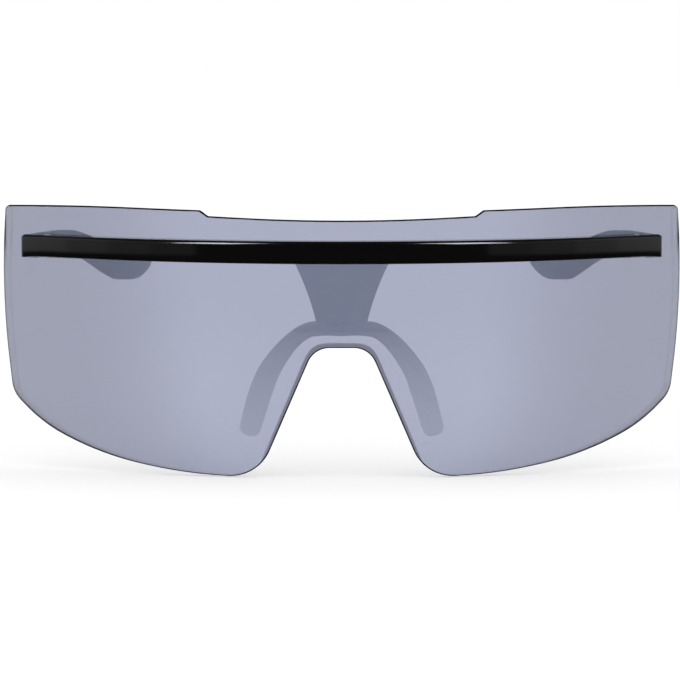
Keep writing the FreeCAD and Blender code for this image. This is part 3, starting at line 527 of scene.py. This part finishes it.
def smoky_silicone():
    """Translucent silicone, dark over the nose and smoke grey at the ends of the pads."""
    want = look().silicone
    material, shader, place = finish("smoky_silicone")
    rise = place.node("ShaderNodeSeparateXYZ", {}, {"Vector": place}, "Z")
    drop = (want.fade_start - rise).math("MAXIMUM", 0.0) * (1 / (want.fade_start - want.fade_end))
    clearing = drop.math("POWER", FADE_POWER)
    cloud = noise(place, *SILICONE_CLOUD)
    join(shader, Base_Color=clearing.mix(want.dark, want.smoke), Transmission_Weight=1.0, IOR=want.index,
         Roughness=swung(cloud, SILICONE_SWING, want.roughness))
    return material


def soft_rubber():
    """Matt black rubber with a slight bloom."""
    want = look().rubber
    material, shader, place = finish("soft_rubber")
    grain = noise(place, want.grain, *RUBBER_GRAIN)
    cloud = noise(place, *RUBBER_CLOUD)
    join(shader, Base_Color=cloud.between(*RUBBER_CLOUD_SHARES).mix(want.body, want.bloom),
         Specular_IOR_Level=want.gloss, Roughness=swung(cloud, RUBBER_SWING, want.roughness),
         Normal=bump(grain, *RUBBER_BUMP))
    return material


def satin_steel(name, along):
    """Brushed steel whose lines run along one axis."""
    want = look().steel
    material, shader, place = finish(name)
    scales = [BRUSH_SCALE if axis == along else 1.0 for axis in "XYZ"]
    lines = noise(stretched(place, scales), want.line, *STEEL_LINES)
    join(shader, Base_Color=opaque(want.body), Metallic=1.0,
         Roughness=swung(lines, STEEL_SWING, want.roughness), Normal=bump(lines, *STEEL_BUMP))
    return material


def spline(points, steps):
    """Return points along a smooth curve through control points.

    Each span is the Catmull-Rom cubic of its four nearest control points.
    """
    points = np.asarray(points, float)
    padded = np.vstack([2 * points[0] - points[1], points, 2 * points[-1] - points[-2]])
    along = np.linspace(0, len(points) - 1, steps)
    span = np.minimum(along.astype(int), len(points) - 2)
    t = (along - span)[:, None]
    a, b, c, d = (padded[span + shift] for shift in range(4))
    bend = 2 * b + (c - a) * t + (2 * a - 5 * b + 4 * c - d) * t ** 2
    return 0.5 * (bend + (3 * b - a - 3 * c + d) * t ** 3)


def grid_piece(name, rings):
    """Make a closed tube from rings of points (ring, spoke, xyz).

    Each end is closed by a fan of triangles to a point at its ring's middle.
    """
    count, spokes, _ = rings.shape
    ring, spoke = np.meshgrid(np.arange(count - 1), np.arange(spokes), indexing="ij")
    after = (spoke + 1) % spokes
    quads = np.stack([ring * spokes + spoke, (ring + 1) * spokes + spoke,
                      (ring + 1) * spokes + after, ring * spokes + after], -1).reshape(-1, 4)
    ends = np.stack([rings[0].mean(0), rings[-1].mean(0)])
    first, last = count * spokes, count * spokes + 1
    turn = np.arange(spokes)
    start_fan = np.stack([np.full(spokes, first), turn, (turn + 1) % spokes], -1)
    base = (count - 1) * spokes
    end_fan = np.stack([np.full(spokes, last), base + (turn + 1) % spokes, base + turn], -1)
    mesh = bpy.data.meshes.new(name)
    mesh.from_pydata(np.vstack([rings.reshape(-1, 3), ends]).tolist(), [],
                     quads.tolist() + start_fan.tolist() + end_fan.tolist())
    mesh.polygons.foreach_set("use_smooth", np.ones(len(mesh.polygons), bool))
    mesh.update()
    piece = bpy.data.objects.new(name, mesh)
    bpy.context.scene.collection.objects.link(piece)
    return piece


def bar_rings(form):
    """Return the brow bar's surface as rings of points.

    The path is an arc about the lens axis, which rises with the square of its turn, and a high power of the
    turn adds a heel below each end. Each ring is a rectangle, depth by height, whose top falls to the back,
    with a quarter circle at each corner, and near the ends every ring draws in by r (1 - sin k) at
    r (1 - cos k) from the end.
    """
    front = BAR_BACK * MM + form.depth
    small = form.small_round
    k = np.linspace(0, np.pi / 2, BAR_END_RINGS)
    lead = small * (1 - np.cos(k)) / front
    draw = small * (1 - np.sin(k))
    middle = np.linspace(lead[-1], 2 * BAR_HALF_SWEEP - lead[-1], BAR_RINGS)[1:-1]
    turn = np.concatenate([lead, middle, 2 * BAR_HALF_SWEEP - lead[::-1]]) - BAR_HALF_SWEEP
    inset = np.concatenate([draw, np.zeros(len(middle)), draw[::-1]])
    bow = (turn / BAR_HALF_SWEEP) ** 2
    heel = (turn / BAR_HALF_SWEEP) ** HEEL_POWER
    foot = BAR_FOOT * MM + (form.end_rise + form.end_drop) * bow - form.heel * heel
    top = BAR_FOOT * MM + form.height + form.end_rise * bow
    corners = ((form.depth, top, form.top_round, 0), (0.0, top - form.top_fall, small, 1),
               (0.0, foot, small, 2), (form.depth, foot, form.low_round, 3))
    depths, rises = [], []
    for depth, rise, radius, quarter in corners:
        angle = np.linspace(0, np.pi / 2, BAR_CORNER_STEPS) + quarter * np.pi / 2
        inner = depth - radius if depth else radius
        level = rise - radius if quarter < 2 else rise + radius
        reach = np.maximum(radius - inset, 0)[:, None]
        depths.append(inner + reach * np.cos(angle))
        rises.append(level[:, None] + reach * np.sin(angle))
    radius = BAR_BACK * MM + np.hstack(depths)
    turn = turn[:, None]
    return np.stack([radius * np.sin(turn), LENS_AXIS * MM - radius * np.cos(turn), np.hstack(rises)], -1)


def pad_rings(form):
    """Return the nose pad's surface as rings of points.

    The path is an arch over the nose. Each ring is a rounded box, |a|^n + |b|^n = 1 with a across the arch
    and b along Y, whose halves swell towards the cheeks and close over the last stretch of each end.
    """
    half = np.array(PAD_ARCH) * MM
    path = spline(np.vstack([half[:0:-1] * (-1, 1), half]), PAD_RINGS)
    step = np.gradient(path, axis=0)
    step /= np.linalg.norm(step, axis=1)[:, None]
    across = np.stack([-step[:, 1], step[:, 0]], -1)
    run = np.concatenate([[0], np.cumsum(np.linalg.norm(np.diff(path, axis=0), axis=1))])
    left = np.minimum(run, run[-1] - run)
    spread = 1 - left / left.max()
    halves = ((form.saddle_half, form.saddle_half, form.cheek_half, form.toe_half),
              (form.depth_half, form.depth_half, form.depth_half, form.toe_depth_half))
    soft = np.hanning(PAD_SMOOTHING)
    soft /= soft.sum()
    edge = PAD_SMOOTHING // 2
    set_halves = (np.pad(np.interp(spread, PAD_SPREAD_SHARES, values), edge, "edge") for values in halves)
    thick, deep = (np.convolve(values, soft, "valid") for values in set_halves)
    inset = np.clip(1 - left / form.end_round, 0, 1)
    close = np.sqrt(np.clip(1 - inset ** 2, 0, 1))
    turn = np.linspace(0, 2 * np.pi, PAD_SPOKES, endpoint=False)
    boxed = 2 / PAD_BOXINESS
    a = np.sign(np.cos(turn)) * np.abs(np.cos(turn)) ** boxed
    b = np.sign(np.sin(turn)) * np.abs(np.sin(turn)) ** boxed
    flat = path[:, None, :] + across[:, None, :] * (thick * close)[:, None, None] * a[None, :, None]
    lean = (PAD_TOP_RISE * MM - path[:, 1]) * PAD_LEAN_SHARE + PAD_MIDDLE * MM
    back = lean[:, None] + (deep * close)[:, None] * b[None, :]
    return np.stack([flat[..., 0], back, flat[..., 1]], -1)


class SUNGLASSES_OT_lens(bpy.types.Operator):
    """Finish the shield lens"""
    bl_idname = "sunglasses.lens"
    bl_label = "Lens"

    def execute(self, context):
        dress("shield_lens", mirror_lens())
        return {"FINISHED"}


class SUNGLASSES_OT_brow_bar(bpy.types.Operator):
    """Form the brow bar and finish it"""
    bl_idname = "sunglasses.brow_bar"
    bl_label = "Brow bar"

    def execute(self, context):
        material = polished_bar()
        dress("brow_bar", material)
        bar = grid_piece("gloss_brow_bar", bar_rings(look().bar_form))
        bar.data.materials.append(material)
        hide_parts("brow_bar")
        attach(bar, "front")
        return {"FINISHED"}


class SUNGLASSES_OT_nylon(bpy.types.Operator):
    """Finish the rear frame, the temple arms and the lens sleeves"""
    bl_idname = "sunglasses.nylon"
    bl_label = "Frame and arms"

    def execute(self, context):
        material = moulded_nylon()
        for node in ("rear_frame", "lens_bushings", *(f"{side}_temple" for side in SIDES)):
            dress(node, material)
        return {"FINISHED"}


class SUNGLASSES_OT_nose_pad(bpy.types.Operator):
    """Form the nose pad and finish it"""
    bl_idname = "sunglasses.nose_pad"
    bl_label = "Nose pad"

    def execute(self, context):
        material = smoky_silicone()
        dress("nose_pad", material)
        pad = grid_piece("soft_nose_pad", pad_rings(look().pad))
        pad.data.materials.append(material)
        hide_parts("nose_pad")
        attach(pad, "front")
        return {"FINISHED"}


class SUNGLASSES_OT_tips(bpy.types.Operator):
    """Finish the temple tips"""
    bl_idname = "sunglasses.tips"
    bl_label = "Temple tips"

    def execute(self, context):
        material = soft_rubber()
        for side in SIDES:
            dress(f"{side}_temple_tip", material)
        return {"FINISHED"}


class SUNGLASSES_OT_steel(bpy.types.Operator):
    """Finish the hinges, the screws and the core strips"""
    bl_idname = "sunglasses.steel"
    bl_label = "Hinges and screws"

    def execute(self, context):
        leaf, turned = satin_steel("brushed_leaf", "Y"), satin_steel("turned_steel", "Z")
        dress("brow_bar_screws", turned)
        for side in SIDES:
            for part in ("front_hinge_leaf", "temple_hinge_leaf", "temple_core"):
                dress(f"{side}_{part}", leaf)
            for part in ("front_leaf_screws", "temple_leaf_screws", "hinge_screw"):
                dress(f"{side}_{part}", turned)
        return {"FINISHED"}


def flat_stage(name, half, rise):
    """Make a level square of the stage."""
    corners = np.array([[-1, -1], [1, -1], [1, 1], [-1, 1]]) * half
    mesh = bpy.data.meshes.new(name)
    mesh.from_pydata(np.column_stack([corners, np.full(len(corners), rise)]).tolist(), [], [(0, 1, 2, 3)])
    square = bpy.data.objects.new(name, mesh)
    bpy.context.scene.collection.objects.link(square)
    return square


def studio_floor(want, low):
    """Lay the pale floor just below a height."""
    floor = flat_stage("studio_floor", FLOOR_HALF, low - FLOOR_GAP * MM)
    material, shader, _ = finish("pale_floor")
    join(shader, Base_Color=opaque(want.floor), Roughness=FLOOR_ROUGHNESS, Specular_IOR_Level=0.0,
         Emission_Color=opaque(WHITE), Emission_Strength=want.floor_glow)
    floor.data.materials.append(material)


def mirror_card(want, low):
    """Lay the card over the floor that only mirrors see, darker towards its sides."""
    card = flat_stage("mirror_card", CARD_HALF, low - (FLOOR_GAP - CARD_LIFT) * MM)
    for ray in ("camera", "diffuse", "transmission", "volume_scatter", "shadow"):
        setattr(card, f"visible_{ray}", False)
    material, shader, place = finish("mirror_card")
    level = place.node("ShaderNodeVectorMath", {"operation": "NORMALIZE"}, {0: place})
    glow = sideways(level).between(*CARD_SIDE_SHARES).mix(WHITE, (1 - want.card_loss,) * 3)
    join(shader, Base_Color=opaque(BLACK), Specular_IOR_Level=0.0,
         Emission_Color=glow, Emission_Strength=want.card)
    card.data.materials.append(material)


def side_card(number, start, radiance):
    """Return an upright card's place, aim, size and power.

    The card is the chord of a circle about the origin from its start angle to the cards' end.
    """
    reach = CARDS_REACH - number * CARDS_APART
    middle, half = (math.radians(CARDS_END + sign * start) / 2 for sign in (1, -1))
    rise = (CARDS_FOOT + CARDS_TOP) / 2
    near = reach * math.cos(half)
    size = (2 * reach * math.sin(half), CARDS_TOP - CARDS_FOOT)
    power = radiance * math.pi * size[0] * size[1] * MM * MM
    return (near * math.sin(middle), -near * math.cos(middle), rise), (0.0, 0.0, rise), size, power


def bar_lamp(receivers, name, mirror, place_mm, aim_mm, size_mm, power):
    """Hang a rectangular lamp that lights the brow bar only."""
    place_mm, aim_mm = mirror * place_mm, mirror * aim_mm
    lamp = bpy.data.lights.new(name, "AREA")
    lamp.shape = "RECTANGLE"
    lamp.size, lamp.size_y = metres(size_mm)
    lamp.energy = power
    lamp.use_nodes = True
    depth = Wire.add(lamp.node_tree, "ShaderNodeLightPath", output="Ray Depth")
    join(lamp.node_tree.nodes["Emission"], Strength=depth.math("LESS_THAN", LAMP_RAY_DEPTH))
    hung = bpy.data.objects.new(name, lamp)
    hung.location = Vector(place_mm) * MM
    hung.rotation_mode = "QUATERNION"
    hung.rotation_quaternion = (Vector(aim_mm) * MM - hung.location).to_track_quat("-Z", "Y")
    hung.visible_camera = False
    hung.visible_diffuse = False
    hung.light_linking.receiver_collection = receivers
    bpy.context.scene.collection.objects.link(hung)


def studio_light(scene, want):
    """Light everything softly from all sides, and the brow bar by lamps of its own."""
    world = bpy.data.worlds.new("studio_sky")
    world.use_nodes = True
    join(world.node_tree.nodes["Background"], Color=opaque(want.sky))
    scene.world = world
    lit = bpy.data.collections.new("bar_light_receivers")
    lit.objects.link(bpy.data.objects["gloss_brow_bar"])
    for side, sign in zip(SIDES, (1, -1)):
        mirror = np.array((sign, 1, 1))
        bar_lamp(lit, f"{side}_top_box", mirror, *TOP_BOX)
        for number, (start, radiance) in enumerate(SIDE_CARDS):
            bar_lamp(lit, f"{side}_side_card_{number}", mirror, *side_card(number, start, radiance))


def studio_camera(scene, want):
    """Set the camera at the photo's angle."""
    aim = Vector((0, CAMERA_PLANE * MM, want.aim_height))
    back = Vector((0, -math.cos(want.elevation), math.sin(want.elevation)))
    data = bpy.data.cameras.new("studio_camera")
    data.sensor_width = SENSOR_WIDTH
    data.lens = want.focal_pixels * data.sensor_width / FRAME_PIXELS
    data.shift_x = -want.aim_side / FRAME_PIXELS
    data.clip_start, data.clip_end = CAMERA_SIGHT
    camera = bpy.data.objects.new("studio_camera", data)
    camera.location = aim + back * want.distance
    camera.rotation_mode = "QUATERNION"
    camera.rotation_quaternion = (-back).to_track_quat("-Z", "Y")
    scene.collection.objects.link(camera)
    scene.camera = camera
    scene.view_settings.view_transform = "Standard"


class SUNGLASSES_OT_stage(bpy.types.Operator):
    """Set up the floor, the soft light and the camera"""
    bl_idname = "sunglasses.stage"
    bl_label = "Studio"

    def execute(self, context):
        want, low = look().stage, CAD_BOX[0][2]
        studio_floor(want, low)
        mirror_card(want, low)
        studio_light(context.scene, want)
        studio_camera(context.scene, want)
        return {"FINISHED"}


class SUNGLASSES_PT_looks(bpy.types.Panel):
    """Sidebar list of the finishes and their settings"""
    bl_idname = "SUNGLASSES_PT_looks"
    bl_label = "Shield Sunglasses"
    bl_space_type = "VIEW_3D"
    bl_region_type = "UI"
    bl_category = "Sunglasses"

    def draw(self, context):
        settings = context.scene.sunglasses
        for step, groups in STEPS:
            self.layout.operator(f"sunglasses.{step}")
            for group in groups:
                block = getattr(settings, group)
                for name in block.__annotations__:
                    self.layout.prop(block, name)


class SunglassesSettings(bpy.types.PropertyGroup):
    """Every setting of the sunglasses."""
    lens: PointerProperty(type=LensLook)
    bar: PointerProperty(type=BarLook)
    bar_form: PointerProperty(type=BarForm)
    silicone: PointerProperty(type=SiliconeLook)
    plastic: PointerProperty(type=PlasticLook)
    rubber: PointerProperty(type=RubberLook)
    pad: PointerProperty(type=PadForm)
    steel: PointerProperty(type=SteelLook)
    stage: PointerProperty(type=StageLook)


# Steps in the order they run, each with the settings it uses
STEPS = (("lens", ("lens",)), ("brow_bar", ("bar", "bar_form")), ("nylon", ("plastic",)),
         ("nose_pad", ("silicone", "pad")), ("tips", ("rubber",)), ("steel", ("steel",)),
         ("stage", ("stage",)))
CLASSES = (LensLook, BarLook, BarForm, PlasticLook, SiliconeLook, RubberLook, SteelLook, PadForm, StageLook,
           SunglassesSettings, SUNGLASSES_OT_lens, SUNGLASSES_OT_brow_bar, SUNGLASSES_OT_nylon,
           SUNGLASSES_OT_nose_pad, SUNGLASSES_OT_tips, SUNGLASSES_OT_steel, SUNGLASSES_OT_stage,
           SUNGLASSES_PT_looks)


def register():
    """Register the classes and put the settings on the scene."""
    for item in CLASSES:
        bpy.utils.register_class(item)
    bpy.types.Scene.sunglasses = PointerProperty(type=SunglassesSettings)


def unregister():
    """Take the settings off the scene and unregister the classes."""
    del bpy.types.Scene.sunglasses
    for item in reversed(CLASSES):
        bpy.utils.unregister_class(item)


def main():
    """Run every step in order."""
    register()
    for step, _ in STEPS:
        getattr(bpy.ops.sunglasses, step)()


if __name__ == "__main__":
    main()
